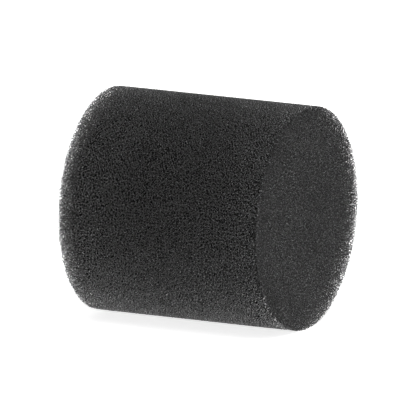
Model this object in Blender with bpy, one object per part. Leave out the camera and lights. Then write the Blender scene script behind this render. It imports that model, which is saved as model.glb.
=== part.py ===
"""Push-on sponge filter: a closed-end foam cylinder on a slotted strainer tube with a rubber pipe grommet.

Units are metres, +Z is up. The part lies on its side, its axis along X. The sponge's closed end faces +X
and the pipe goes in at -X. The origin is on the surface it lies on, under the middle of its length.
"""

import math

import bmesh
import bpy
from mathutils import Matrix

# Sponge
SPONGE_DIAMETER = 0.060
SPONGE_LENGTH = 0.058

# Strainer tube, with the flange that the sponge is pushed up against
STRAINER_DIAMETER = 0.0214
STRAINER_WALL = 0.0016
STRAINER_REACH = 0.0414  # how far tube and cap go into the sponge
FLANGE_DIAMETER = 0.036
FLANGE_THICKNESS = 0.0025

# Water slots through the tube wall
SLOT_LENGTH = 0.0080
SLOT_WIDTH = 0.0022
SLOT_RING_SPACE = 0.0024  # wall left between one ring of slots and the next
SLOT_BAR_WIDTH = 0.0040  # wall left between neighbours in a ring, at least

# Cap that closes the tube's inner end
CAP_THICKNESS = 0.0020
CAP_CHAMFER = 0.0008
CAP_PLUG_LENGTH = 0.0036
CAP_PLUG_WALL = 0.0014

# Rubber grommet in the tube's mouth
PIPE_DIAMETER = 0.0120
GROMMET_LENGTH = 0.0100  # the sleeve inside the tube
GROMMET_LIP_DIAMETER = 0.0240
GROMMET_LIP_THICKNESS = 0.0020
GROMMET_MOUTH_CHAMFER = 0.0008

# Fits
FIT_GAP = 0.0003  # space between pieces that touch
PIPE_GAP = 0.00005  # radial play of the pipe in the grommet

# Facets round the axis; a flat one is underneath, so the part lies still
FACETS = 32

# Worked out from the sizes above
OVERALL_LENGTH = SPONGE_LENGTH + FIT_GAP + FLANGE_THICKNESS + FIT_GAP + GROMMET_LIP_THICKNESS
AXIS_HEIGHT = SPONGE_DIAMETER / 2
FRONT_X = OVERALL_LENGTH / 2
SPONGE_REAR_X = FRONT_X - SPONGE_LENGTH
FLANGE_FRONT_X = SPONGE_REAR_X - FIT_GAP
FLANGE_REAR_X = FLANGE_FRONT_X - FLANGE_THICKNESS
LIP_FRONT_X = FLANGE_REAR_X - FIT_GAP
LIP_REAR_X = LIP_FRONT_X - GROMMET_LIP_THICKNESS
CAP_FRONT_X = SPONGE_REAR_X + STRAINER_REACH
CAP_REAR_X = CAP_FRONT_X - CAP_THICKNESS
TUBE_FRONT_X = CAP_REAR_X - FIT_GAP
CAP_PLUG_REAR_X = TUBE_FRONT_X - CAP_PLUG_LENGTH
GROMMET_FRONT_X = FLANGE_REAR_X + GROMMET_LENGTH
STRAINER_BORE_RADIUS = STRAINER_DIAMETER / 2 - STRAINER_WALL

# Black open-cell foam, black moulded plastic and black rubber
FOAM_LOOK = ((0.040, 0.040, 0.040, 1.0), 0.95)
PLASTIC_LOOK = ((0.022, 0.022, 0.024, 1.0), 0.45)
RUBBER_LOOK = ((0.016, 0.016, 0.017, 1.0), 0.70)


def clear_scene():
    """Remove every object of the scene."""
    for thing in list(bpy.data.objects):
        bpy.data.objects.remove(thing, do_unlink=True)


def material(name, look):
    """Return a new Principled material with the look's colour and roughness."""
    colour, roughness = look
    result = bpy.data.materials.new(name)
    result.use_nodes = True
    shader = result.node_tree.nodes["Principled BSDF"]
    shader.inputs["Base Color"].default_value = colour
    shader.inputs["Roughness"].default_value = roughness
    shader.inputs["Metallic"].default_value = 0.0
    return result


def axis_ring(mesh, x, radius):
    """Add one ring of points round the X axis, flat side down, its flats at the radius; a pole if it is 0."""
    if radius == 0:
        return [mesh.verts.new((x, 0, 0))]
    half_step = math.pi / FACETS
    corner_radius = radius / math.cos(half_step)
    ring = []
    for index in range(FACETS):
        angle = (2 * index + 1) * half_step
        ring.append(mesh.verts.new((x, corner_radius * math.sin(angle), -corner_radius * math.cos(angle))))
    return ring


def skin(mesh, first, second):
    """Join two neighbouring rings, either of which may be a pole."""
    for index in range(FACETS):
        after = (index + 1) % FACETS
        corners = [first[index % len(first)], first[after % len(first)]]
        corners += [second[after % len(second)], second[index % len(second)]]
        mesh.faces.new(dict.fromkeys(corners))


def turned(name, profile, look, closed_loop):
    """Return an object turned about the part's axis from (x, radius) points.

    A profile that starts and ends on the axis makes a solid, and a closed loop makes a ring.
    """
    shape = bmesh.new()
    rings = [axis_ring(shape, x, radius) for x, radius in profile]
    for first, second in zip(rings, rings[1:]):
        skin(shape, first, second)
    if closed_loop:
        skin(shape, rings[-1], rings[0])
    bmesh.ops.recalc_face_normals(shape, faces=shape.faces)
    mesh = bpy.data.meshes.new(name)
    shape.to_mesh(mesh)
    shape.free()
    mesh.shade_smooth()
    mesh.set_sharp_from_angle(angle=math.radians(30))
    mesh.materials.append(material(name, look))
    result = bpy.data.objects.new(name, mesh)
    bpy.context.scene.collection.objects.link(result)
    result.location = (0, 0, AXIS_HEIGHT)
    return result


def make_sponge():
    """Foam cylinder with a blind bore, open at the rear, that the strainer fills."""
    outer = SPONGE_DIAMETER / 2
    bore = STRAINER_DIAMETER / 2 + FIT_GAP
    bore_end = CAP_FRONT_X + FIT_GAP
    profile = [(FRONT_X, 0), (FRONT_X, outer), (SPONGE_REAR_X, outer)]
    profile += [(SPONGE_REAR_X, bore), (bore_end, bore), (bore_end, 0)]
    return turned("sponge", profile, FOAM_LOOK, closed_loop=False)


def slot_cutter():
    """Hidden boxes, one for each water slot, in rings along the part of the tube that nothing fills."""
    start = GROMMET_FRONT_X + SLOT_RING_SPACE
    free_length = CAP_PLUG_REAR_X - SLOT_RING_SPACE - start
    pitch = SLOT_LENGTH + SLOT_RING_SPACE
    rings = int((free_length + SLOT_RING_SPACE) / pitch)
    used_length = rings * pitch - SLOT_RING_SPACE
    first_x = start + (free_length - used_length + SLOT_LENGTH) / 2
    slots = int(math.pi * STRAINER_DIAMETER / (SLOT_WIDTH + SLOT_BAR_WIDTH))
    shape = bmesh.new()
    for ring in range(rings):
        for slot in range(slots):
            turn = Matrix.Rotation(2 * math.pi * slot / slots, 4, "X")
            place = Matrix.Translation((first_x + ring * pitch, 0, STRAINER_DIAMETER / 2))
            size = Matrix.Diagonal((SLOT_LENGTH, SLOT_WIDTH, 4 * STRAINER_WALL, 1))
            bmesh.ops.create_cube(shape, size=1, matrix=turn @ place @ size)
    mesh = bpy.data.meshes.new("slot_cutter")
    shape.to_mesh(mesh)
    shape.free()
    cutter = bpy.data.objects.new("slot_cutter", mesh)
    bpy.context.scene.collection.objects.link(cutter)
    cutter.location = (0, 0, AXIS_HEIGHT)
    cutter.hide_render = True
    cutter.display_type = "WIRE"
    return cutter


def make_strainer_tube():
    """Slotted tube with a flange at its rear, in one moulding."""
    outer = STRAINER_DIAMETER / 2
    flange = FLANGE_DIAMETER / 2
    profile = [(TUBE_FRONT_X, STRAINER_BORE_RADIUS), (TUBE_FRONT_X, outer), (FLANGE_FRONT_X, outer)]
    profile += [(FLANGE_FRONT_X, flange), (FLANGE_REAR_X, flange), (FLANGE_REAR_X, STRAINER_BORE_RADIUS)]
    tube = turned("strainer_tube", profile, PLASTIC_LOOK, closed_loop=True)
    cut = tube.modifiers.new("water_slots", "BOOLEAN")
    cut.operation = "DIFFERENCE"
    cut.solver = "EXACT"
    cut.object = slot_cutter()
    return tube


def make_strainer_cap():
    """Disc with a chamfered rim that leads the sponge on, and a hollow plug that fits inside the tube."""
    rim = STRAINER_DIAMETER / 2
    plug = STRAINER_BORE_RADIUS - FIT_GAP
    plug_bore = plug - CAP_PLUG_WALL
    profile = [(CAP_FRONT_X, 0), (CAP_FRONT_X, rim - CAP_CHAMFER), (CAP_FRONT_X - CAP_CHAMFER, rim)]
    profile += [(CAP_REAR_X, rim), (CAP_REAR_X, plug), (CAP_PLUG_REAR_X, plug)]
    profile += [(CAP_PLUG_REAR_X, plug_bore), (CAP_REAR_X, plug_bore), (CAP_REAR_X, 0)]
    return turned("strainer_cap", profile, PLASTIC_LOOK, closed_loop=False)


def make_pipe_grommet():
    """Rubber sleeve for the pipe, with a lip that stops it at the flange."""
    sleeve = STRAINER_BORE_RADIUS - FIT_GAP
    lip = GROMMET_LIP_DIAMETER / 2
    bore = PIPE_DIAMETER / 2 + PIPE_GAP
    mouth = bore + GROMMET_MOUTH_CHAMFER
    profile = [(GROMMET_FRONT_X, bore), (GROMMET_FRONT_X, sleeve), (LIP_FRONT_X, sleeve), (LIP_FRONT_X, lip)]
    profile += [(LIP_REAR_X, lip), (LIP_REAR_X, mouth), (LIP_REAR_X + GROMMET_MOUTH_CHAMFER, bore)]
    return turned("pipe_grommet", profile, RUBBER_LOOK, closed_loop=True)


clear_scene()
make_sponge()
make_strainer_tube()
make_strainer_cap()
make_pipe_grommet()
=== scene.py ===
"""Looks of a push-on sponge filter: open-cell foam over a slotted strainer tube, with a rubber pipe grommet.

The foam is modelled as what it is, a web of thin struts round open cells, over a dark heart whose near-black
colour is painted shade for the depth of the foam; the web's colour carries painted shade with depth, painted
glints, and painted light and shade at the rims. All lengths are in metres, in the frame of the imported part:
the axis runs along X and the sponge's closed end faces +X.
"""

import logging
import math
from dataclasses import dataclass, field
from enum import Enum

import bpy
import numpy as np
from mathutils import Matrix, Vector


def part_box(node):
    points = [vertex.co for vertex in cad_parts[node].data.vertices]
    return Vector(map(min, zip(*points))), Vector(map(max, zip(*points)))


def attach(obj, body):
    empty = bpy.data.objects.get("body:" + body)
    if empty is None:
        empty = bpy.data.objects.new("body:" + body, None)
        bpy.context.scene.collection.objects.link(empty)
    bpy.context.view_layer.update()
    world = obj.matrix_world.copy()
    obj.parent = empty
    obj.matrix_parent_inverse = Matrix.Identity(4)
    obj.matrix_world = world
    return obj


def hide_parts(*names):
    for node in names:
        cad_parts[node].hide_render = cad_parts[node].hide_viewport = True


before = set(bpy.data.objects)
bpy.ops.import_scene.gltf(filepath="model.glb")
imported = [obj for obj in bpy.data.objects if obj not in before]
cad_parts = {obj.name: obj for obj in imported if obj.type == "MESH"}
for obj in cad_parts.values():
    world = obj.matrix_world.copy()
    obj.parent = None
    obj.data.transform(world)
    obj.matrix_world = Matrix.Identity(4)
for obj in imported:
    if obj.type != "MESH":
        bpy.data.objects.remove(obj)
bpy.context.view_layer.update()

log = logging.getLogger("sponge_filter")
Array = np.ndarray
Corner = tuple[float, float, float]
Feed = bpy.types.NodeSocket | float | tuple[float, ...]
FULL_TURN = 2 * math.pi
TUBE_WALL = 0.0016
FIT_GAP = 0.0003
WEAR_ATTRIBUTE = "edge_wear"
WELDS_PER_METRE = 1e6
MOTTLE_DETAIL = 3.0
MOTTLE_SPREAD = (0.7, 1.3)  # sums of mottle and grain that give the dark colour and the light one


class Body(Enum):
    """The rigid bodies that pieces ride on."""

    STRAINER = "strainer"
    SPONGE = "sponge"
    GROMMET = "grommet"


class Slot(Enum):
    """The record's material slots."""

    FOAM = "foam"
    STRAINER = "strainer_plastic"
    CAP = "cap_plastic"
    GROMMET = "grommet_rubber"


# Small mesh and node helpers


def new_object(name: str, points: Array, faces: list[Array], material: bpy.types.Material,
               smooth: bool = True) -> bpy.types.Object:
    """Make a mesh object at the origin from whole arrays.

    Args:
        name: The piece's name.
        points: Vertex places, one row each, with the edge wear there as a fourth column on moulded pieces.
        faces: Arrays of vertex numbers, one row for each face; the rows of one array have one length.
        material: The finish it wears.
        smooth: Whether it is shaded smooth.

    Returns:
        The new object, linked into the scene.
    """
    corners = np.concatenate([part.ravel() for part in faces])
    sizes = np.concatenate([np.full(len(part), part.shape[1]) for part in faces])
    mesh = bpy.data.meshes.new(name)
    mesh.vertices.add(len(points))
    mesh.vertices.foreach_set("co", points[:, :3].astype(np.float32).ravel())
    mesh.loops.add(len(corners))
    mesh.loops.foreach_set("vertex_index", corners.astype(np.int32))
    mesh.polygons.add(len(sizes))
    mesh.polygons.foreach_set("loop_start", (np.cumsum(sizes) - sizes).astype(np.int32))
    mesh.update(calc_edges=True)
    if points.shape[1] > 3:
        wear = mesh.attributes.new(WEAR_ATTRIBUTE, "FLOAT", "POINT")
        wear.data.foreach_set("value", points[:, 3].astype(np.float32))
    if smooth:
        mesh.shade_smooth()
    mesh.materials.append(material)
    piece = bpy.data.objects.new(name, mesh)
    bpy.context.scene.collection.objects.link(piece)
    return piece


def welded(points: Array, faces: list[Array]) -> tuple[Array, list[Array]]:
    """Join points that share a place to the nearest micrometre, and renumber the faces.

    Args:
        points: Vertex rows, whose first three columns are their place.
        faces: Arrays of vertex numbers.

    Returns:
        The points that are left, and the faces with their new numbers.
    """
    keys = np.round(points[:, :3] * WELDS_PER_METRE).astype(np.int64)
    _, first, number = np.unique(keys, axis=0, return_index=True, return_inverse=True)
    return points[first], [number.reshape(-1)[part] for part in faces]


def even_shading(piece: bpy.types.Object) -> None:
    """Weight a piece's smooth shading by face area, so that its flats stay flat up to their rounded edges."""
    piece.modifiers.new("even_shading", "WEIGHTED_NORMAL")


def feed(tree: bpy.types.NodeTree, node: bpy.types.Node, inputs: dict[str | int, Feed]) -> None:
    """Link sockets to a node's inputs, or set their values.

    Args:
        tree: The node tree.
        node: The node to feed.
        inputs: What goes into each input, a socket or a value.
    """
    for name, value in inputs.items():
        if isinstance(value, bpy.types.NodeSocket):
            tree.links.new(value, node.inputs[name])
        else:
            node.inputs[name].default_value = value


def add_node(tree: bpy.types.NodeTree, kind: str, inputs: dict[str | int, Feed] | None = None,
             **settings: str | bpy.types.NodeTree) -> bpy.types.Node:
    """Add a shader node.

    Args:
        tree: The node tree.
        kind: The node's type, without the ShaderNode that all types start with.
        inputs: What goes into its inputs.
        settings: Its own settings, which are made first because they decide which inputs there are.

    Returns:
        The new node.
    """
    node = tree.nodes.new(f"ShaderNode{kind}")
    for name, value in settings.items():
        setattr(node, name, value)
    feed(tree, node, inputs or {})
    return node


def seen_mask(tree: bpy.types.NodeTree) -> bpy.types.NodeSocket:
    """Tell what shows the background from the light that falls on matt surfaces.

    Args:
        tree: The node tree of the floor or the world.

    Returns:
        A socket that is 1 for rays from the camera and for rays that gloss or glass sends on, and 0 for
        others.
    """
    path = add_node(tree, "LightPath")
    mask = path.outputs["Is Camera Ray"]
    for kind in ("Is Glossy Ray", "Is Transmission Ray"):
        mask = add_node(tree, "Math", {0: mask, 1: path.outputs[kind]}, operation="MAXIMUM").outputs[0]
    return mask


def new_material(name: str) -> tuple[bpy.types.Material, bpy.types.NodeTree, bpy.types.Node]:
    """Make a node material.

    Args:
        name: The material's name.

    Returns:
        The material, its node tree and its Principled BSDF.
    """
    material = bpy.data.materials.new(name)
    material.use_nodes = True
    return material, material.node_tree, material.node_tree.nodes["Principled BSDF"]


def mottle_group() -> bpy.types.NodeTree:
    """Node group shared by the finishes: a soft mottle over a fine grain, read at the place on the object.

    Returns:
        The group, made on the first call. Its Colour runs from Dark to Light with the mottle, and its Grain
        is the fine noise alone.
    """
    name = "mottle_and_grain"
    if name in bpy.data.node_groups:
        return bpy.data.node_groups[name]
    group = bpy.data.node_groups.new(name, "ShaderNodeTree")
    for socket, kind in (("Place", "Vector"), ("Dark", "Color"), ("Light", "Color"),
                         ("Mottle Scale", "Float"), ("Grain Scale", "Float")):
        group.interface.new_socket(socket, in_out="INPUT", socket_type=f"NodeSocket{kind}")
    for socket, kind in (("Colour", "Color"), ("Grain", "Float")):
        group.interface.new_socket(socket, in_out="OUTPUT", socket_type=f"NodeSocket{kind}")
    inputs, outputs = group.nodes.new("NodeGroupInput").outputs, group.nodes.new("NodeGroupOutput")
    fixed = {"Detail": MOTTLE_DETAIL, "Vector": inputs["Place"]}
    mottle, grain = (add_node(group, "TexNoise", fixed | {"Scale": inputs[scale]})
                     for scale in ("Mottle Scale", "Grain Scale"))
    blend = add_node(group, "Math", {0: mottle.outputs["Fac"], 1: grain.outputs["Fac"]}, operation="ADD")
    low, high = MOTTLE_SPREAD
    spread = add_node(group, "MapRange", {"From Min": low, "From Max": high, "Value": blend.outputs[0]})
    colours = {"Factor": spread.outputs["Result"], "A": inputs["Dark"], "B": inputs["Light"]}
    mix = add_node(group, "Mix", colours, data_type="RGBA")
    feed(group, outputs, {"Colour": mix.outputs["Result"], "Grain": grain.outputs["Fac"]})
    return group


# Finishes


def grey(value: float) -> tuple[float, float, float, float]:
    """A neutral colour of one linear value."""
    return (value, value, value, 1.0)


def add_mottle(tree: bpy.types.NodeTree, place: bpy.types.NodeSocket,
               finish: "FoamFinish | MouldedFinish") -> bpy.types.Node:
    """Add the mottle, in a finish's colours and scales, at a place on the object."""
    inputs = {"Place": place, "Dark": grey(finish.dark), "Light": grey(finish.light)}
    inputs |= {"Mottle Scale": finish.mottle_scale, "Grain Scale": finish.grain_scale}
    return add_node(tree, "Group", inputs, node_tree=mottle_group())


@dataclass(frozen=True)
class FoamFinish:
    """Black foam: a mottled dark grey, times painted shade that fades it to black with depth below the cut
    surface, and painted glints and rim light and shade.
    """

    name: str = "black_open_cell_foam"
    dark: float = 0.079
    light: float = 0.100
    roughness: float = 0.40
    specular: float = 0.45
    mottle_scale: float = 160.0
    grain_scale: float = 2400.0
    # names the mesh attribute of painted light and shade
    painted_light_attribute: str = "painted_light_and_shade"

    def material(self) -> bpy.types.Material:
        """Build the material, whose colour is the mottle times the mesh's attribute of painted light and
        shade.
        """
        material, tree, shader = new_material(self.name)
        mottle = add_mottle(tree, add_node(tree, "TexCoord").outputs["Object"], self)
        # The mesh attribute: painted shade with depth, painted glints, and painted light and shade at the
        # rims
        depth = add_node(tree, "Attribute", attribute_name=self.painted_light_attribute)
        inputs = {"Factor": 1.0, "A": mottle.outputs["Colour"], "B": depth.outputs["Color"]}
        shade = add_node(tree, "Mix", inputs, data_type="RGBA", blend_type="MULTIPLY")
        feed(tree, shader, {"Base Color": shade.outputs["Result"], "Roughness": self.roughness})
        feed(tree, shader, {"Specular IOR Level": self.specular})
        return material


@dataclass(frozen=True)
class HeartFinish:
    """Painted shade for the foam's depth: near black, with the round mouths of deeper cells painted a little
    darker still.
    """

    name: str = "foam_depth_painted_shade"
    pore: float = 0.002
    strut: float = 0.014
    cell: float = 0.0012
    wall: tuple[float, float] = (0.04, 0.22)
    roughness: float = 0.95
    specular: float = 0.05

    def material(self) -> bpy.types.Material:
        """Build the material: the distance to the nearest cell wall sets the painted shade."""
        material, tree, shader = new_material(self.name)
        inputs = {"Scale": 1.0 / self.cell, "Vector": add_node(tree, "TexCoord").outputs["Object"]}
        cells = add_node(tree, "TexVoronoi", inputs, feature="DISTANCE_TO_EDGE")
        near, far = self.wall
        inputs = {"From Min": near, "From Max": far, "Value": cells.outputs["Distance"]}
        wall = add_node(tree, "MapRange", inputs)
        inputs = {"A": grey(self.strut), "B": grey(self.pore), "Factor": wall.outputs["Result"]}
        mix = add_node(tree, "Mix", inputs, data_type="RGBA")
        feed(tree, shader, {"Base Color": mix.outputs["Result"], "Roughness": self.roughness})
        feed(tree, shader, {"Specular IOR Level": self.specular})
        return material


@dataclass(frozen=True)
class MouldedFinish:
    """A moulded surface: mottled colour, uneven gloss, a fine grain in relief and paler, worn edges."""

    name: str
    dark: float
    light: float
    worn: float
    smooth: float
    rough: float
    relief: float
    specular: float = 0.17
    flow: tuple[float, float, float] = (1.0, 1.0, 1.0)
    mottle_scale: float = 140.0
    grain_scale: float = 1300.0
    gloss_grain: tuple[float, float] = (0.3, 0.7)
    relief_height: float = 0.0001

    def material(self) -> bpy.types.Material:
        """Build the material; the grain drives the gloss and the relief, and breaks up the edge wear."""
        material, tree, shader = new_material(self.name)
        inputs = {"Scale": self.flow, "Vector": add_node(tree, "TexCoord").outputs["Object"]}
        drawn = add_node(tree, "Mapping", inputs)
        mottle = add_mottle(tree, drawn.outputs["Vector"], self)
        grain = mottle.outputs["Grain"]
        edge = add_node(tree, "Attribute", attribute_name=WEAR_ATTRIBUTE)
        broken = add_node(tree, "Math", {0: edge.outputs["Fac"], 1: grain}, operation="MULTIPLY")
        inputs = {"Factor": broken.outputs[0], "A": mottle.outputs["Colour"], "B": grey(self.worn)}
        worn = add_node(tree, "Mix", inputs, data_type="RGBA")
        low, high = self.gloss_grain
        inputs = {"From Min": low, "From Max": high, "To Min": self.smooth, "To Max": self.rough}
        gloss = add_node(tree, "MapRange", inputs | {"Value": grain})
        inputs = {"Strength": self.relief, "Distance": self.relief_height, "Height": grain}
        bump = add_node(tree, "Bump", inputs)
        feed(tree, shader, {"Base Color": worn.outputs["Result"], "Roughness": gloss.outputs["Result"]})
        feed(tree, shader, {"Specular IOR Level": self.specular, "Normal": bump.outputs["Normal"]})
        return material


# Turned surfaces


@dataclass
class TurnedBox:
    """Where a turned CAD node is, read from the frame."""

    node: str

    def __post_init__(self) -> None:
        """Read the node's box."""
        low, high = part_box(self.node)
        self.rear, self.front = low[0], high[0]
        self.radius = (high[1] - low[1]) / 2
        self.axis_height = (high[2] + low[2]) / 2


def rounded(outline: list[Corner], steps: int = 6) -> Array:
    """Round the corners of an outline.

    Each corner is cut back by its radius along both of its sides, and a quadratic curve, which is the corner
    weighted by 2t(1-t) and the two cuts by (1-t) squared and t squared, joins the cuts. The edge wear along
    it is 4t(1-t).

    Args:
        outline: Corners in order, each as x, radius from the axis and corner radius.
        steps: Points along each rounded corner.

    Returns:
        The outline's points, one row of x, radius and edge wear each.
    """
    corners = np.array(outline)
    places, cuts = corners[:, :2], corners[:, 2:]
    before, after = np.roll(places, 1, axis=0) - places, np.roll(places, -1, axis=0) - places
    start = places + before / np.linalg.norm(before, axis=1, keepdims=True) * cuts
    end = places + after / np.linalg.norm(after, axis=1, keepdims=True) * cuts
    t = np.linspace(0, 1, steps)[None, :, None]
    curve = start[:, None] * (1 - t) ** 2 + places[:, None] * 2 * t * (1 - t) + end[:, None] * t**2
    wear = np.broadcast_to(4 * t * (1 - t), (len(corners), steps, 1))
    rows = np.concatenate([curve, wear], axis=2)
    return np.concatenate([row if cut > 0 else row[:1] for row, cut in zip(rows, cuts[:, 0])])


def ridge(x: float, radius: float, half: tuple[float, float], rise: tuple[float, float], foot: float,
          top: float) -> list[Corner]:
    """Corners of a three-cornered ridge or groove in an outline.

    Args:
        x: The middle of its foot along the axis.
        radius: The middle of its foot from the axis.
        half: The way from where it starts to its middle, along the axis and from it.
        rise: The way from its middle to its top, along the axis and from it.
        foot: Corner radius where it starts and ends.
        top: Corner radius of its top.

    Returns:
        The three corners, each as x, radius from the axis and corner radius.
    """
    start = (x - half[0], radius - half[1], foot)
    end = (x + half[0], radius + half[1], foot)
    return [start, (x + rise[0], radius + rise[1], top), end]


def ring_quads(start: Array, ahead: Array) -> Array:
    """Four-cornered faces between rings of vertex numbers and the rings ahead of them."""
    quads = np.stack([start, np.roll(start, -1, axis=-1), np.roll(ahead, -1, axis=-1), ahead], axis=-1)
    return quads.reshape(-1, 4)


def round_axis(x: Array, radius: Array, angle: Array, axis_height: float) -> Array:
    """Places at a way along the part's axis, a distance from it and an angle round it from the top."""
    return np.stack([x, radius * np.sin(angle), axis_height + radius * np.cos(angle)], axis=-1)


def turned(outline: Array, axis_height: float, angles: Array) -> tuple[Array, list[Array]]:
    """Carry an outline round the part's axis: the surface of outline row and angle.

    An outline that starts and ends on the axis gets a fan of triangles at each pole; any other is a closed
    loop.

    Args:
        outline: Rows of x, radius and edge wear, from the front round the outside to the rear and back.
        axis_height: Height of the axis.
        angles: The angles round the axis, in order.

    Returns:
        Points with their edge wear, and faces that point outwards.
    """
    has_poles = outline[0, 1] == 0
    rings = outline[1:-1] if has_poles else outline
    x, radius, wear, angle = np.broadcast_arrays(*rings.T[:, :, None], angles[None])
    places = round_axis(x, radius, angle, axis_height)
    points = np.concatenate([places, wear[..., None]], axis=-1).reshape(-1, 4)
    number = np.arange(len(points)).reshape(x.shape)
    ahead = number[1:] if has_poles else np.roll(number, -1, axis=0)
    faces = [ring_quads(number[:len(ahead)], ahead)]
    if has_poles:
        poles = [[outline[end, 0], 0.0, axis_height, 0.0] for end in (0, -1)]
        first, last = np.full(len(angles), len(points)), np.full(len(angles), len(points) + 1)
        faces.append(np.stack([first, np.roll(number[0], -1), number[0]], axis=-1))
        faces.append(np.stack([last, number[-1], np.roll(number[-1], -1)], axis=-1))
        points = np.concatenate([points, poles])
    return points, faces


def even_angles(segments: int) -> Array:
    """Angles in even steps round the axis."""
    return np.arange(segments) * FULL_TURN / segments


# The sponge


@dataclass
class SpongeShape:
    """The sponge's outline, read from the frame: a cylinder with a blind bore from its rear."""

    web_depth: float = 0.00085
    bore_web_depth: float = 0.0006
    rim_cut: float = 0.0042
    end_fuzz: float = 0.00068
    low: Array = field(init=False)
    high: Array = field(init=False)

    def __post_init__(self) -> None:
        """Read the places from the frame's boxes."""
        self.low, self.high = (np.array(corner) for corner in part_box("sponge"))
        cap = TurnedBox("strainer_cap")
        self.rear, self.front = self.low[0], self.high[0]
        self.radius = (self.high[1] - self.low[1]) / 2
        self.axis_height = self.low[2] + self.radius
        self.bore_radius = cap.radius + FIT_GAP
        self.bore_end = cap.front + FIT_GAP

    def polar(self, points: Array) -> tuple[Array, Array, Array]:
        """Place along the axis, distance from it and angle round it of each point."""
        y, z = points[:, 1], points[:, 2] - self.axis_height
        return points[:, 0], np.hypot(y, z), np.arctan2(y, z)

    def inside(self, points: Array) -> Array:
        """Whether each point is in the foam: inside the cylinder and outside the bore."""
        x, r, _ = self.polar(points)
        in_length = (x > self.rear - self.end_fuzz) & (x < self.front + self.end_fuzz)
        in_cylinder = in_length & (r < self.radius)
        return in_cylinder & ~((r < self.bore_radius) & (x < self.bore_end))

    def in_heart(self, points: Array) -> Array:
        """Whether each point is in the heart, the foam less its web, with its rims cut off slantwise."""
        x, r, _ = self.polar(points)
        from_rear, from_front = x - self.rear - self.web_depth, self.front - self.web_depth - x
        from_side = self.radius - self.web_depth - r
        near = np.minimum(from_rear, from_front)
        outer = (near > 0) & (from_side > 0) & (near + from_side > self.rim_cut)
        bored = (r < self.bore_radius + self.bore_web_depth) & (x < self.bore_end + self.bore_web_depth)
        return outer & ~bored

    def from_bore(self, points: Array) -> Array:
        """Distance of each point from the bore."""
        x, r, _ = self.polar(points)
        return np.hypot(np.maximum(r - self.bore_radius, 0), np.maximum(x - self.bore_end, 0))

    def depth(self, points: Array) -> Array:
        """Distance of each point below the nearest stretch of skin."""
        x, r, _ = self.polar(points)
        return np.minimum.reduce([self.from_bore(points), x - self.rear, self.radius - r, self.front - x])

    def from_rim(self, points: Array) -> tuple[Array, Array]:
        """Distance of each point from the nearer end's plane, and from the side."""
        x, r, _ = self.polar(points)
        return np.minimum(x - self.rear, self.front - x), self.radius - r

    def parts(self, points: Array) -> tuple[Array, Array, Array]:
        """Which points are nearest to the side, which to the front end and which to the rear end."""
        from_end, from_side = self.from_rim(points)
        on_end, in_front = from_end < from_side, points[:, 0] > (self.rear + self.front) / 2
        return ~on_end, on_end & in_front, on_end & ~in_front

    def unrolled(self, points: Array) -> list[tuple[Array, Array, tuple[float, float]]]:
        """Flatten the outer skin, keeping areas in proportion.

        The side is unrolled. Each end's disc becomes a square: in each quarter of the disc the distance from
        the middle is one coordinate, and the angle from the quarter's middle times that distance is the
        other.

        Args:
            points: Places in the foam.

        Returns:
            For the side and the two ends: which points belong there, their places from 0 to 1 each way, and
            the lengths that these stand for.
        """
        x, r, angle = self.polar(points)
        length, around = self.front - self.rear, FULL_TURN * self.radius
        side = np.stack([angle / FULL_TURN + 0.5, (x - self.rear) / length], axis=1)
        quarter = np.round(angle / (math.pi / 2)) * math.pi / 2
        across = r * (angle - quarter) / (math.pi / 4)
        square = np.stack([r * np.cos(quarter) - across * np.sin(quarter),
                           r * np.sin(quarter) + across * np.cos(quarter)], axis=1)
        end = square / self.radius / 2 + 0.5
        edge = math.sqrt(math.pi) * self.radius
        sizes = ((around, length), (edge, edge), (edge, edge))
        return list(zip(self.parts(points), (side, end, end), sizes))

    def heart_outline(self) -> Array:
        """The heart's outline without wear, from the middle of its front round to the end of the bore."""
        front, rear = self.front - self.web_depth, self.rear + self.web_depth
        side, bore = self.radius - self.web_depth, self.bore_radius + self.bore_web_depth
        bore_end, cut = self.bore_end + self.bore_web_depth, self.rim_cut
        places = [(front, 0.0), (front, side - cut), (front - cut, side), (rear + cut, side)]
        places += [(rear, side - cut), (rear, bore), (bore_end, bore), (bore_end, 0.0)]
        return np.array([(x, radius, 0.0) for x, radius in places])


@dataclass
class Struts:
    """Struts of the foam: their start points and end points, one row for each strut."""

    start: Array
    end: Array

    @property
    def middle(self) -> Array:
        """The struts' middles."""
        return (self.start + self.end) / 2

    def __len__(self) -> int:
        """How many struts there are."""
        return len(self.start)

    def picked(self, which: Array) -> "Struts":
        """The struts that a mask picks."""
        return Struts(self.start[which], self.end[which])


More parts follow.
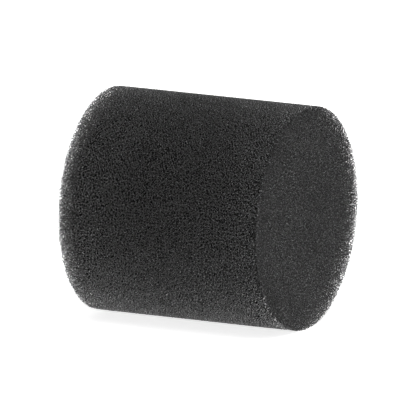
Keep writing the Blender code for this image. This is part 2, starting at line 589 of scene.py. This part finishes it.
@dataclass
class FoamLattice:
    """A disordered foam of many-sided cells.

    It starts from the foam in which every cell is a truncated octahedron: with the cell cube's side as 1, a
    node lies at each arrangement of 0, 1/2 and 1/4 or 3/4, and a strut joins nodes that are root 2 over 4
    apart. A smooth warp and a random shift of each node then break the order up.
    """

    cube: float = 0.00084
    jitter: float = 0.16
    warp_waves: int = 14
    warp_length: tuple[float, float] = (0.003, 0.012)
    warp_strain: float = 0.42
    margin: int = 4  # cubes of foam beyond each side of the box
    tolerance: float = 1e-6  # on a strut's length
    ranks: tuple[float, float, float] = (1.0, 1e-2, 1e-4)  # weights that rank a run by x, y and z
    seed: int = 11

    def nodes_and_struts(self) -> tuple[Array, Array, Array, Array]:
        """Nodes of one cube, and its struts as start node, end node and the cube that the end is in.

        Each strut is found from both of its ends. The way it runs, ranked by x, then y, then z, keeps it
        once.
        """
        quarters = np.array([[0, 2, 1], [0, 2, 3], [2, 0, 1], [2, 0, 3]])
        nodes = np.concatenate([np.roll(quarters, turn, axis=1) for turn in range(3)]) / 4
        steps = np.array(np.meshgrid(*[[-1, 0, 1]] * 3, indexing="ij")).reshape(3, -1).T
        gaps = nodes[None, :, None] + steps[None, None] - nodes[:, None, None]
        near = np.abs(np.linalg.norm(gaps, axis=-1) - math.sqrt(2) / 4) < self.tolerance
        start, end, step = np.nonzero(near)
        once = gaps[start, end, step] @ np.array(self.ranks) > 0
        return nodes, start[once], end[once], steps[step[once]]

    def warped(self, points: Array, random: np.random.Generator) -> Array:
        """Shift points by a sum of sine waves, each with its own direction, length and phase.

        Each wave shifts points across its own direction, which turns the cells without crowding them.
        """
        moved = points.copy()
        for _ in range(self.warp_waves):
            length = random.uniform(*self.warp_length)
            wave = random.normal(size=3)
            wave *= FULL_TURN / length / np.linalg.norm(wave)
            push = np.cross(wave, random.normal(size=3))
            push /= np.linalg.norm(push)
            push *= self.warp_strain / math.sqrt(self.warp_waves) * length / FULL_TURN * math.sqrt(2)
            moved += np.sin(points @ wave + random.uniform(0, FULL_TURN))[:, None] * push
        return moved

    def struts(self, low: Array, high: Array) -> Struts:
        """Fill a box, from its lowest corner to its highest, with foam."""
        random = np.random.default_rng(self.seed)
        nodes, start, end, step = self.nodes_and_struts()
        count = np.ceil((high - low) / self.cube).astype(int) + 2 * self.margin
        cubes = np.indices(count).reshape(3, -1).T
        places = (cubes[:, None] + nodes[None] - self.margin).reshape(-1, 3)
        places += random.normal(scale=self.jitter, size=places.shape)
        places = self.warped(low + places * self.cube, random)
        inner = cubes[((cubes > 0) & (cubes < count - 1)).all(axis=1)]
        other = inner[:, None] + step[None]
        first = np.ravel_multi_index(inner.T, count)[:, None] * len(nodes) + start
        second = np.ravel_multi_index(other.reshape(-1, 3).T, count).reshape(other.shape[:2])
        second = second * len(nodes) + end
        return Struts(places[first.ravel()], places[second.ravel()])


@dataclass
class Sponge:
    """The foam cylinder: a web of struts at its skin, over a dark heart of painted shade."""

    shape: SpongeShape = field(default_factory=SpongeShape)
    lattice: FoamLattice = field(default_factory=FoamLattice)
    finish: FoamFinish = field(default_factory=FoamFinish)
    heart_finish: HeartFinish = field(default_factory=HeartFinish)
    strut_half_width: float = 0.000086
    strut_spread: tuple[float, float] = (0.8, 1.2)
    strut_overrun: float = 0.00004  # how far a strut runs past its nodes
    steepest: float = 0.7  # how far a strut's direction may lean towards X before Y is the helper
    shortest: float = 0.00008  # cut struts under this length are left out
    halvings: int = 12  # steps towards the place where a strut leaves the foam
    sheet_margin: float = 0.2  # room round a strut in its cell of the bake sheet
    skin_depth: float = 0.00028
    inner_share: float = 0.14  # share of the struts that stays below the skin
    bore_share: float = 0.32  # share that stays in the bore's lining
    depth_fade: float = 0.00034  # depth at which the painted shade leaves 1/e of the light
    glint_spread: float = 1.35  # spread of the logarithm of each strut's painted glint
    end_glint: float = 1.15  # how much more it spreads on the ends
    glint_limits: tuple[float, float] = (0.05, 9.0)
    # Patches over which painted light evens out the web's shading
    even_patch: float = 0.0010
    last_place: float = 0.999999  # keeps a place at the far edge in the last patch
    even_passes: int = 3
    look_cell: float = 0.00012  # side of the squares in which struts hide one another
    look_samples: int = 4  # places tried along each strut
    look_slants: tuple[float, ...] = (0.6, 2.0)  # shifts along the skin for each unit of depth
    look_turns: int = 4
    even_shifts: int = 4
    even_margin: float = 0.0010  # how near to a rim the painted light that evens the web fades out
    # Painted shade on the ends, deeper towards their rims, and painted light on the side near the rims
    end_painted_shade: float = 0.85
    end_shadow: float = 0.36
    end_shadow_reach: float = 0.0022
    side_painted_light: float = 1.3
    side_painted_light_reach: float = 0.0058
    rim_thinning: float = 0.32
    rim_slimming: float = 0.5
    rim_edge: float = 0.00080  # width of the closed edge at a rim
    rim_reach: float = 0.0023  # how far inwards the foam's rims are open
    sectors: int = 10
    heart_segments: int = 192
    seed: int = 23

    def clipped(self, struts: Struts) -> Struts:
        """Cut struts off at the sponge's skin, and keep what lies in the web, between the skin and the heart.

        A strut with one end outside is halved again and again towards the place where it leaves the foam.
        """
        start_in, end_in = self.shape.inside(struts.start), self.shape.inside(struts.end)
        touching = start_in | end_in
        struts, start_in, end_in = struts.picked(touching), start_in[touching], end_in[touching]
        start, end, flipped = struts.start, struts.end, ~start_in
        start[flipped], end[flipped] = end[flipped], start[flipped]
        crossing = ~(start_in & end_in)
        inner, outer = start[crossing], end[crossing]
        for _ in range(self.halvings):
            middle = (inner + outer) / 2
            kept = self.shape.inside(middle)[:, None]
            inner, outer = np.where(kept, middle, inner), np.where(kept, outer, middle)
        end[crossing] = inner
        long_enough = np.linalg.norm(end - start, axis=1) > self.shortest
        return struts.picked(long_enough & ~self.shape.in_heart(struts.middle))

    def openness(self, points: Array) -> Array:
        """How open the foam is, from 0 to 1.

        It is closed at the very rim, most open just inside it, and then less so by an exponential.
        """
        from_end, from_side = self.shape.from_rim(points)
        from_rim = np.hypot(from_end + self.shape.end_fuzz, from_side)
        return (1 - np.exp(-((from_rim / self.rim_edge) ** 2))) * np.exp(-from_rim / self.rim_reach)

    def thinned(self, struts: Struts, random: np.random.Generator) -> Struts:
        """Leave out part of the struts, so that light comes through the rims.

        The share that stays is whole at the skin, less where a rim is open, and smaller in the bore's lining
        and below the skin.

        Args:
            struts: All struts of the web.
            random: The generator to draw from.

        Returns:
            The struts that stay.
        """
        middle = struts.middle
        at_skin = 1 - self.rim_thinning * self.openness(middle)
        share = np.where(self.shape.depth(middle) < self.skin_depth, at_skin, self.inner_share)
        share = np.where(self.shape.from_bore(middle) < self.skin_depth, self.bore_share, share)
        return struts.picked(random.random(len(struts)) < share)

    def strut_mesh(self, struts: Struts, roll: Array, half_width: Array) -> tuple[Array, Array]:
        """Make every strut a slim closed four-faced wedge.

        Its start is an edge across it in one direction and its end an edge across it at right angles.

        Args:
            struts: The struts.
            roll: Each strut's turn about its own length.
            half_width: Half of each strut's width.

        Returns:
            Points and triangles that face outwards.
        """
        along = struts.end - struts.start
        along /= np.linalg.norm(along, axis=1, keepdims=True)
        along_x = np.abs(along[:, :1]) >= self.steepest
        helper = np.where(along_x, [[0, 1.0, 0]], [[1.0, 0, 0]])
        side = np.cross(along, helper)
        side /= np.linalg.norm(side, axis=1, keepdims=True)
        up = np.cross(along, side)
        cosine, sine = np.cos(roll)[:, None], np.sin(roll)[:, None]
        across = (side * cosine + up * sine) * half_width[:, None]
        over = (up * cosine - side * sine) * half_width[:, None]
        overrun = along * self.strut_overrun
        first, last = struts.start - overrun, struts.end + overrun
        points = np.stack([first + across, first - across, last + over, last - over], axis=1)
        wedge = np.array([[0, 1, 2], [0, 2, 3], [0, 3, 1], [1, 3, 2]])
        faces = (np.arange(len(struts))[:, None, None] * 4 + wedge).reshape(-1, 3)
        return points.reshape(-1, 3), faces

    def strut_sheet(self, count: int) -> Array:
        """Lay struts out on a square sheet, each in a small cell of its own.

        Args:
            count: How many struts there are.

        Returns:
            The place on the sheet, from 0 to 1 each way, of every strut's four points.
        """
        side = math.ceil(math.sqrt(count))
        cell = np.stack(np.divmod(np.arange(count), side), axis=1)
        low, high = self.sheet_margin, 1 - self.sheet_margin
        corner = np.array([[low, low], [high, low], [low, high], [high, high]])
        return ((cell[:, None] + corner) / side).reshape(-1, 2)

    def shown(self, struts: Struts) -> Array:
        """Find how much of every strut shows from outside.

        The skin is looked at straight on and at slants from all round, each a shift along the skin for every
        unit of depth. Each time the side and the ends are divided into small squares, and in each square the
        strut that lies nearest to the skin shows.

        Args:
            struts: The struts that are left in the web.

        Returns:
            The number of squares in which each strut shows, as a mean over the looks.
        """
        start, end = struts.start[:, None], struts.end[:, None]
        ways = np.linspace(0, 1, self.look_samples + 2)[1:-1, None]
        points = (start + (end - start) * ways).reshape(-1, 3)
        owner = np.repeat(np.arange(len(struts)), self.look_samples)
        x, _, angle = self.shape.polar(points)
        from_end, from_side = self.shape.from_rim(points)
        flats = (np.stack([angle * self.shape.radius, x], axis=1), points[:, 1:], points[:, 1:])
        turns = even_angles(self.look_turns)
        ring = np.stack([np.cos(turns), np.sin(turns)], axis=1)
        looks = np.concatenate([[[0.0, 0.0]], *[ring * slant for slant in self.look_slants]])
        squares = np.zeros(len(struts))
        for mine, places, depth in zip(self.shape.parts(points), flats, (from_side, from_end, from_end)):
            for slant in looks:
                square = np.floor((places[mine] + depth[mine, None] * slant) / self.look_cell).astype(int)
                number = (square - square.min(axis=0)) @ [1, np.ptp(square[:, 0]) + 1]
                order = np.lexsort((depth[mine], number))
                nearest = order[np.diff(number[order], prepend=-1) > 0]
                squares += np.bincount(owner[mine][nearest], minlength=len(struts))
        return squares / len(looks)

    def painted_glint(self, struts: Struts, random: np.random.Generator) -> Array:
        """Give every strut a painted glint of its own, and paint the web's light even over any stretch of
        skin wider than a few cells.

        The painted glint varies from strut to strut in a lognormal way about a mean of 1, more so on the
        ends. The skin is divided into patches, several times over with the patches shifted, and the light of
        a patch is the sum of its struts' painted glints, times what shows of them and what they keep at their
        depth. Each strut's factor is then divided by its patches' mean light over that of the whole face, to
        a power that falls off towards the rims, so that painted light evens out the shading, and all this is
        done more than once.

        Args:
            struts: The struts that are left in the web.
            random: The generator to draw from.

        Returns:
            A factor of painted glint and painted light for each strut.
        """
        middle = struts.middle
        from_end, from_side = self.shape.from_rim(middle)
        # Each strut's painted glint: a lognormal factor about 1, spread more on the ends
        spread = self.glint_spread * np.where(from_end < from_side, self.end_glint, 1.0)
        own = np.exp(random.normal(size=len(middle)) * spread - spread**2 / 2).clip(*self.glint_limits)
        weight = self.shown(struts) * self.faded(middle)
        power = 1 - np.exp(-((np.hypot(from_end, from_side) / self.even_margin) ** 2))
        shifts = np.arange(self.even_shifts) / self.even_shifts
        for mine, places, lengths in self.shape.unrolled(middle) * self.even_passes:
            light = weight * own
            counts = np.round(np.array(lengths) / self.even_patch).astype(int)
            share = np.zeros(np.count_nonzero(mine))
            for shift in np.array(np.meshgrid(shifts, shifts)).reshape(2, -1).T:
                cell = np.floor(places[mine].clip(0, self.last_place) * counts + shift).astype(int)
                number = cell[:, 0] * (counts[1] + 1) + cell[:, 1]
                total = np.bincount(number, light[mine], minlength=math.prod(counts + 1))
                widths = [np.concatenate([[1 - part], np.ones(count - 1), [part]])
                          for part, count in zip(shift, counts)]
                area = np.outer(*widths).ravel()[number]
                share += total[number] / area
            mean = light[mine].sum() / math.prod(counts) * len(shifts) ** 2
            # Painted light: struts in patches that show less light are painted paler, and those that show
            # more darker
            own[mine] *= (share / mean) ** -power[mine]
        return own

    def faded(self, points: Array) -> Array:
        """How much of its light each place keeps under the painted shade of depth: the exponential of its
        depth below the skin.
        """
        return np.exp(-self.shape.depth(points).clip(0) / self.depth_fade)

    def shade(self, points: Array, painted_glint: Array) -> Array:
        """How pale each point of the web is painted, as painted light and shade.

        It is the strut's painted glint, darkened by painted shade with depth, and a little less on the ends
        by painted shade. Towards a rim the ends get darker by painted shade, by an exponential of the way
        from the side, and the side gets paler by painted light, by an exponential of the way from the end.

        Args:
            points: The struts' points, four to a strut.
            painted_glint: Each strut's painted glint and painted evening of light.

        Returns:
            A factor on the foam's colour for each point.
        """
        from_end, from_side = (way.clip(0) for way in self.shape.from_rim(points))
        # Painted shade on the ends and painted light on the side near the rims
        shadow = self.end_painted_shade * (1 - self.end_shadow * np.exp(-from_side / self.end_shadow_reach))
        lift = 1 + self.side_painted_light * np.exp(-from_end / self.side_painted_light_reach)
        return self.faded(points) * np.repeat(painted_glint, 4) * np.where(from_end < from_side, shadow, lift)

    def build_web(self) -> list[bpy.types.Object]:
        """Build the web of struts, in sectors round the axis."""
        random = np.random.default_rng(self.seed)
        struts = self.clipped(self.lattice.struts(self.shape.low, self.shape.high))
        struts = self.thinned(struts, random)
        roll = random.uniform(0, FULL_TURN, len(struts))
        half_width = self.strut_half_width * random.uniform(*self.strut_spread, len(struts))
        half_width *= 1 - self.rim_slimming * self.openness(struts.middle)
        # Painted glints, and painted light that evens the web's shading out
        painted_glint = self.painted_glint(struts, random)
        middle_angle = self.shape.polar(struts.middle)[2] % FULL_TURN
        sector = np.minimum((middle_angle / FULL_TURN * self.sectors).astype(int), self.sectors - 1)
        material = self.finish.material()
        pieces = []
        for index in range(self.sectors):
            mine = sector == index
            points, faces = self.strut_mesh(struts.picked(mine), roll[mine], half_width[mine])
            piece = new_object(f"sponge_web_{index + 1}", points, [faces], material, smooth=False)
            # Painted light and shade for each point, held in a colour attribute that the foam's material
            # reads
            values = np.repeat(self.shade(points, painted_glint[mine])[:, None], 4, axis=1).astype(np.float32)
            attribute = piece.data.attributes.new(self.finish.painted_light_attribute, "FLOAT_COLOR", "POINT")
            attribute.data.foreach_set("color", values.ravel())
            sheet = self.strut_sheet(np.count_nonzero(mine))[faces.ravel()]
            layer = piece.data.uv_layers.new(name="OFBake")
            layer.uv.foreach_set("vector", sheet.astype(np.float32).ravel())
            pieces.append(piece)
        return pieces

    def build_heart(self) -> bpy.types.Object:
        """Build the dark body of painted shade under the web by turning its outline."""
        angles = even_angles(self.heart_segments)
        points, faces = turned(self.shape.heart_outline(), self.shape.axis_height, angles)
        return new_object("sponge_heart", points[:, :3], faces, self.heart_finish.material(), smooth=False)

    def build(self) -> None:
        """Build the sponge and set it on its body."""
        pieces = [self.build_heart()] + self.build_web()
        for piece in pieces:
            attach(piece, Body.SPONGE.value)
            log.info("%s: %d faces", piece.name, len(piece.data.polygons))
        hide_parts("sponge")


# The strainer and the grommet


@dataclass
class StrainerTube:
    """The slotted tube, with the flange that the sponge is pushed up against."""

    finish: MouldedFinish = MouldedFinish(
        "black_strainer_plastic", dark=0.012, light=0.042, worn=0.120, smooth=0.24, rough=0.56, relief=0.75,
        flow=(0.25, 1.0, 1.0))
    flange_thickness: float = 0.0025
    flange_rim: float = 0.0014
    flange_land: float = 0.0126
    flange_recess: float = 0.0006
    edge_round: float = 0.0004
    recess_round: float = 0.0002
    root_fillet: float = 0.0014
    slots: int = 10
    slot_rings: int = 2
    slot_length: float = 0.0080
    slot_width: float = 0.0022
    slot_space: float = 0.0024
    slot_margin: float = 0.0007
    slot_edge: float = 0.00025
    slot_edge_steps: int = 4
    patch_rows: int = 12
    patch_columns: int = 6
    bar_columns: int = 4
    parting_rise: float = 0.00008

    def __post_init__(self) -> None:
        """Read the places from the frame."""
        self.box = TurnedBox("strainer_tube")
        cap, grommet = TurnedBox("strainer_cap"), TurnedBox("pipe_grommet")
        self.outer = cap.radius
        self.bore = self.outer - TUBE_WALL
        self.patch_half = self.slot_length / 2 + self.slot_margin
        self.patch_turn = (self.slot_width / 2 + self.slot_margin) / self.outer
        middle = (grommet.front + cap.rear) / 2
        step = self.slot_length + self.slot_space
        self.ring_places = middle + (np.arange(self.slot_rings) - (self.slot_rings - 1) / 2) * step
        self.slot_angles = even_angles(self.slots)

    def outline(self) -> Array:
        """The tube's outline, with rows of points where the slots' patches start and end."""
        box, edge, soft = self.box, self.edge_round, self.recess_round
        rows = np.linspace(-self.patch_half, self.patch_half, self.patch_rows + 1)
        stations = (self.ring_places[:, None] + rows).ravel()
        flange_front, floor = box.rear + self.flange_thickness, box.rear + self.flange_recess
        corners = [(box.front, self.bore, edge), (box.front, self.outer, edge)]
        corners += [(x, self.outer, 0.0) for x in stations[::-1]]
        corners += [(flange_front, self.outer, self.root_fillet), (flange_front, box.radius, edge)]
        corners += [(box.rear, box.radius, edge), (box.rear, box.radius - self.flange_rim, soft)]
        corners += [(floor, box.radius - self.flange_rim - self.flange_recess, soft)]
        corners += [(floor, self.flange_land + self.flange_recess, soft), (box.rear, self.flange_land, soft)]
        corners += [(box.rear, self.bore, edge)]
        corners += [(x, self.bore, 0.0) for x in stations]
        return rounded(corners)

    def angles(self) -> Array:
        """Angles round the tube, denser across the slots' patches."""
        step = FULL_TURN / self.slots
        patch = np.linspace(-self.patch_turn, self.patch_turn, self.patch_columns, endpoint=False)
        bar = np.linspace(self.patch_turn, step - self.patch_turn, self.bar_columns, endpoint=False)
        return (self.slot_angles[:, None] + np.concatenate([patch, bar])).ravel()

    def wall(self) -> tuple[Array, list[Array]]:
        """The turned tube without the patches that hold its slots."""
        points, (quads,) = turned(self.outline(), self.box.axis_height, self.angles())
        middle = points[quads, :3].mean(axis=1)
        y, z = middle[:, 1], middle[:, 2] - self.box.axis_height
        step = FULL_TURN / self.slots
        turn = np.abs((np.arctan2(y, z) + step / 2) % step - step / 2)
        reach = np.abs(middle[:, :1] - self.ring_places).min(axis=1)
        on_tube = np.hypot(y, z) < self.outer + self.slot_edge
        return points, [quads[~((turn < self.patch_turn) & (reach < self.patch_half) & on_tube)]]

    def slot_patches(self) -> tuple[Array, list[Array]]:
        """All slots, each a ring of rows from its patch's edge down through the wall to the bore.

        A patch's edge is an oblong of the tube's own grid. Each later row is the outline of all places at one
        distance from the slot's middle line, so its ends are round: half of the slot's width, and more by the
        edge's radius times 1 less the sine of t where the edge is rounded, sunk by that radius times 1 less
        the cosine of t.

        Returns:
            Points with their edge wear, and faces that point into the slots.
        """
        across = self.patch_turn * self.outer
        u = np.linspace(-self.patch_half, self.patch_half, self.patch_rows + 1)[:-1]
        v = np.linspace(-across, across, self.patch_columns + 1)[:-1]
        low = np.stack([u, np.full_like(u, -across)], axis=1)
        right = np.stack([np.full_like(v, self.patch_half), v], axis=1)
        edge = np.concatenate([low, right, -low, -right])
        straight = (self.slot_length - self.slot_width) / 2
        spine = np.stack([edge[:, 0].clip(-straight, straight), np.zeros(len(edge))], axis=1)
        away = edge - spine
        away /= np.linalg.norm(away, axis=1, keepdims=True)
        t = np.linspace(0, math.pi / 2, self.slot_edge_steps)
        swell, sink = self.slot_edge * (1 - np.sin(t)), self.slot_edge * (1 - np.cos(t))
        distance = self.slot_width / 2 + np.concatenate([swell, swell[::-1]])
        outlines = np.concatenate([edge[None], spine + away * distance[:, None, None], edge[None]])
        radius = np.concatenate([[self.outer], self.outer - sink, self.bore + sink[::-1], [self.bore]])
        wear = np.concatenate([[0], np.sin(2 * t), np.sin(2 * t), [0]])
        shape = (self.slot_rings, self.slots, *outlines.shape[:2])
        x = self.ring_places[:, None, None, None] + outlines[..., 0]
        angle = self.slot_angles[:, None, None] + outlines[..., 1] / self.outer
        x, angle, rows = (np.broadcast_to(part, shape) for part in (x, angle, radius[:, None]))
        places = round_axis(x, rows, angle, self.box.axis_height)
        points = np.concatenate([places, np.broadcast_to(wear[:, None, None], (*shape, 1))], axis=-1)
        number = np.arange(math.prod(shape)).reshape(shape)
        return points.reshape(-1, 4), [ring_quads(number[..., :-1, :], number[..., 1:, :])]

    def parted(self, points: Array) -> Array:
        """Raise the mould's parting line along both sides of the tube.

        The rise falls in a straight line from the middle of the bar to nothing one column away.

        Args:
            points: The tube's points.

        Returns:
            The points with the line raised.
        """
        y, z = points[:, 1], points[:, 2] - self.box.axis_height
        radius, from_side = np.hypot(y, z), np.abs(np.abs(np.arctan2(y, z)) - math.pi / 2)
        column = (FULL_TURN / self.slots - 2 * self.patch_turn) / self.bar_columns
        rise = self.parting_rise * (1 - from_side / column).clip(0) * (radius > self.outer - self.slot_edge)
        moved = points.copy()
        moved[:, 1] += rise * y / radius
        moved[:, 2] += rise * z / radius
        return moved

    def build(self) -> None:
        """Build the tube and set it on its body."""
        wall, wall_faces = self.wall()
        slots, slot_faces = self.slot_patches()
        faces = wall_faces + [part + len(wall) for part in slot_faces]
        points, faces = welded(np.concatenate([wall, slots]), faces)
        dress(new_object("strainer_tube_smooth", self.parted(points), faces, self.finish.material()),
              Body.STRAINER, "strainer_tube")


@dataclass
class StrainerCap:
    """The cap that closes the tube's inner end, with a hollow plug that goes into the tube."""

    finish: MouldedFinish = MouldedFinish(
        "black_cap_plastic", dark=0.013, light=0.044, worn=0.125, smooth=0.22, rough=0.54, relief=0.75)
    disc: float = 0.0020
    chamfer: float = 0.0008
    edge_round: float = 0.0003
    plug_wall: float = 0.0014
    gate_radius: float = 0.0013
    gate_depth: float = 0.0004
    groove_radius: float = 0.0068
    groove_half: float = 0.0005
    groove_depth: float = 0.0003
    segments: int = 120

    def build(self) -> None:
        """Turn the cap, with a gate mark and a groove in its face, and set it on its body."""
        box, soft = TurnedBox("strainer_cap"), self.edge_round
        face, back = box.front, box.front - self.disc
        plug = box.radius - TUBE_WALL - FIT_GAP
        gate, gate_round = face - self.gate_depth, self.gate_depth / 2
        corners = [(gate, 0.0, 0.0), (gate, self.gate_radius, gate_round)]
        corners += [(face, self.gate_radius + self.gate_depth, gate_round)]
        corners += ridge(face, self.groove_radius, (0.0, self.groove_half), (-self.groove_depth, 0.0),
                         self.groove_depth / 3, self.groove_half / 2)
        corners += [(face, box.radius - self.chamfer, soft), (face - self.chamfer, box.radius, soft)]
        corners += [(back, box.radius, soft), (back, plug, soft), (box.rear + soft, plug, soft / 2)]
        corners += [(box.rear, plug - soft, soft / 2), (box.rear, plug - self.plug_wall, soft)]
        corners += [(back, plug - self.plug_wall, soft), (back, 0.0, 0.0)]
        points, faces = turned(rounded(corners), box.axis_height, even_angles(self.segments))
        dress(new_object("strainer_cap_smooth", points, faces, self.finish.material()),
              Body.STRAINER, "strainer_cap")


@dataclass
class PipeGrommet:
    """The rubber grommet: a ribbed sleeve for the pipe, and a grooved lip that stops it at the flange."""

    finish: MouldedFinish = MouldedFinish(
        "black_rubber", dark=0.009, light=0.034, worn=0.075, smooth=0.48, rough=0.85, relief=0.90,
        specular=0.08, mottle_scale=220.0, grain_scale=1100.0)
    lip_thickness: float = 0.0020
    bore: float = 0.00605
    mouth: float = 0.0008
    lead: float = 0.0008
    soft: float = 0.0003
    lip_round: float = 0.0008
    rib_places: tuple[float, ...] = (0.0016, 0.0045, 0.0074)
    rib_half: float = 0.0006
    rib_rise: float = 0.00024
    ring_places: tuple[float, ...] = (0.0105, 0.0088)
    ring_half: float = 0.0004
    ring_depth: float = 0.0003
    groove_places: tuple[float, ...] = (0.0030, 0.0052, 0.0074)
    groove_half: float = 0.0006
    groove_depth: float = 0.0005
    segments: int = 120

    def build(self) -> None:
        """Turn the grommet from its outline, with ribs, rings and grooves, and set it on its body."""
        box, soft, foot = TurnedBox("pipe_grommet"), self.soft, self.soft / 3
        sleeve = TurnedBox("strainer_cap").radius - TUBE_WALL - FIT_GAP
        lip_front = box.rear + self.lip_thickness
        corners = [(box.front, self.bore, soft), (box.front, sleeve - self.lead, soft)]
        corners += [(box.front - self.lead, sleeve, soft)]
        for place in self.rib_places:
            corners += ridge(box.front - place, sleeve, (-self.rib_half, 0.0), (0.0, self.rib_rise), foot,
                             self.rib_half / 2)
        corners += [(lip_front, sleeve, soft), (lip_front, box.radius, self.lip_round)]
        corners += [(box.rear, box.radius, self.lip_round)]
        for radius in self.ring_places:
            corners += ridge(box.rear, radius, (0.0, -self.ring_half), (self.ring_depth, 0.0), foot,
                             self.ring_half / 2)
        corners += [(box.rear, self.bore + self.mouth, soft), (box.rear + self.mouth, self.bore, soft)]
        for place in self.groove_places:
            corners += ridge(box.rear + place, self.bore, (self.groove_half, 0.0), (0.0, self.groove_depth),
                             foot, self.groove_half / 2)
        points, faces = turned(rounded(corners), box.axis_height, even_angles(self.segments))
        dress(new_object("pipe_grommet_smooth", points, faces, self.finish.material()),
              Body.GROMMET, "pipe_grommet")


def dress(piece: bpy.types.Object, body: Body, node: str) -> None:
    """Set a moulded piece on its body in place of a CAD node.

    Args:
        piece: The moulded piece.
        body: The body that it rides on.
        node: The CAD node that it stands for.
    """
    even_shading(piece)
    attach(piece, body.value)
    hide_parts(node)
    log.info("%s: %d faces", piece.name, len(piece.data.polygons))


# The studio


@dataclass
class Studio:
    """Pale floor, soft light and the photograph's camera."""

    sensor_width: float = 36.0  # in millimetres, like the lens
    photo_width_px: float = 416.0
    sponge_diameter_px: float = 225.34
    azimuth: float = 26.87
    elevation: float = 12.17
    distance: float = 5.0
    aim_right: float = -0.00008
    floor_half: float = 6.0
    floor_colour: float = 0.90
    pad_glow: float = 3.60
    far_glow: float = 0.20
    pad_reach: tuple[float, float] = (0.02, 0.15)
    pad_squeeze: float = 2.2
    floor_seen_glow: float = 0.78
    horizon_strength: float = 0.24
    zenith_strength: float = 0.46
    overhead_softbox: tuple[float, ...] = (60.0, 65.0, 1.2, 1.0, 14.5)

    def direction(self, azimuth: float, elevation: float) -> Vector:
        """Unit vector from the object towards a viewer at an azimuth and elevation in degrees."""
        turn, rise = math.radians(azimuth), math.radians(elevation)
        return Vector((math.sin(turn) * math.cos(rise), -math.cos(turn) * math.cos(rise), math.sin(rise)))

    def build_camera(self, shape: SpongeShape) -> None:
        """Aim a very long lens at the middle of the sponge, so that its sides look parallel."""
        data = bpy.data.cameras.new("camera")
        frame_width = 2 * shape.radius * self.photo_width_px / self.sponge_diameter_px
        data.sensor_width = self.sensor_width
        data.lens = data.sensor_width * self.distance / frame_width
        camera = bpy.data.objects.new("camera", data)
        target = Vector(((shape.rear + shape.front) / 2, 0.0, shape.axis_height))
        target += self.direction(self.azimuth + 90.0, 0.0) * self.aim_right
        towards = self.direction(self.azimuth, self.elevation)
        camera.location = target + towards * self.distance
        camera.rotation_euler = towards.to_track_quat("Z", "Y").to_euler()
        bpy.context.scene.collection.objects.link(camera)
        bpy.context.scene.camera = camera

    def build_world(self) -> None:
        """White light, dimmer at the horizon; the camera and gloss see it as plain white."""
        world = bpy.data.worlds.new("studio")
        bpy.context.scene.world = world
        world.use_nodes = True
        tree = world.node_tree
        height = add_node(tree, "SeparateXYZ", {"Vector": add_node(tree, "TexCoord").outputs["Generated"]})
        inputs = {"To Min": self.horizon_strength, "To Max": self.zenith_strength}
        sky = add_node(tree, "MapRange", inputs | {"Value": height.outputs["Z"]})
        inputs = {"To Min": sky.outputs["Result"], "To Max": 1.0, "Value": seen_mask(tree)}
        strength = add_node(tree, "MapRange", inputs)
        feed(tree, tree.nodes["Background"], {"Color": grey(1.0), "Strength": strength.outputs["Result"]})

    def build_floor(self) -> None:
        """A white floor that glows like a light pad round the object, so that its underside is lit too."""
        half = self.floor_half
        corners = np.array([[-half, -half, 0], [half, -half, 0], [half, half, 0], [-half, half, 0]])
        material, tree, shader = new_material("pale_floor")
        place = add_node(tree, "TexCoord").outputs["Object"]
        squeezed = add_node(tree, "Mapping", {"Scale": (self.pad_squeeze, 1.0, 1.0), "Vector": place})
        away = add_node(tree, "VectorMath", {0: squeezed.outputs["Vector"]}, operation="LENGTH")
        near, far = self.pad_reach
        inputs = {"From Min": near, "From Max": far, "To Min": self.pad_glow, "To Max": self.far_glow}
        inputs |= {"Value": away.outputs["Value"]}
        pad = add_node(tree, "MapRange", inputs, interpolation_type="SMOOTHSTEP")
        inputs = {"To Min": pad.outputs["Result"], "To Max": self.floor_seen_glow, "Value": seen_mask(tree)}
        glow = add_node(tree, "MapRange", inputs)
        feed(tree, shader, {"Base Color": grey(self.floor_colour), "Roughness": 1.0})
        feed(tree, shader, {"Specular IOR Level": 0.0, "Emission Color": grey(1.0)})
        feed(tree, shader, {"Emission Strength": glow.outputs["Result"]})
        floor = new_object("floor", corners, [np.array([[0, 1, 2, 3]])], material)

    def add_softbox(self, name: str, azimuth: float, elevation: float, distance: float, size: float,
                    power: float) -> None:
        """Add a square soft lamp aimed at the object.

        Args:
            name: The lamp's name.
            azimuth: Where it stands, in degrees.
            elevation: How high it stands, in degrees.
            distance: How far off it stands.
            size: Its side.
            power: Its power in watts.
        """
        data = bpy.data.lights.new(name, "AREA")
        data.size = size
        data.energy = power
        lamp = bpy.data.objects.new(name, data)
        towards = self.direction(azimuth, elevation)
        lamp.location = towards * distance
        lamp.rotation_euler = towards.to_track_quat("Z", "Y").to_euler()
        bpy.context.scene.collection.objects.link(lamp)

    def build(self, shape: SpongeShape) -> None:
        """Build the whole studio round the sponge."""
        bpy.context.scene.view_settings.view_transform = "Standard"
        self.build_camera(shape)
        self.build_world()
        self.build_floor()
        self.add_softbox("overhead_softbox", *self.overhead_softbox)


def main() -> None:
    """Build the sponge filter and its studio."""
    logging.basicConfig(level=logging.INFO, format="%(name)s: %(message)s")
    sponge = Sponge()
    sponge.build()
    for inner in (StrainerTube(), StrainerCap(), PipeGrommet()):
        inner.build()
    Studio().build(sponge.shape)


if __name__ == "__main__":
    main()
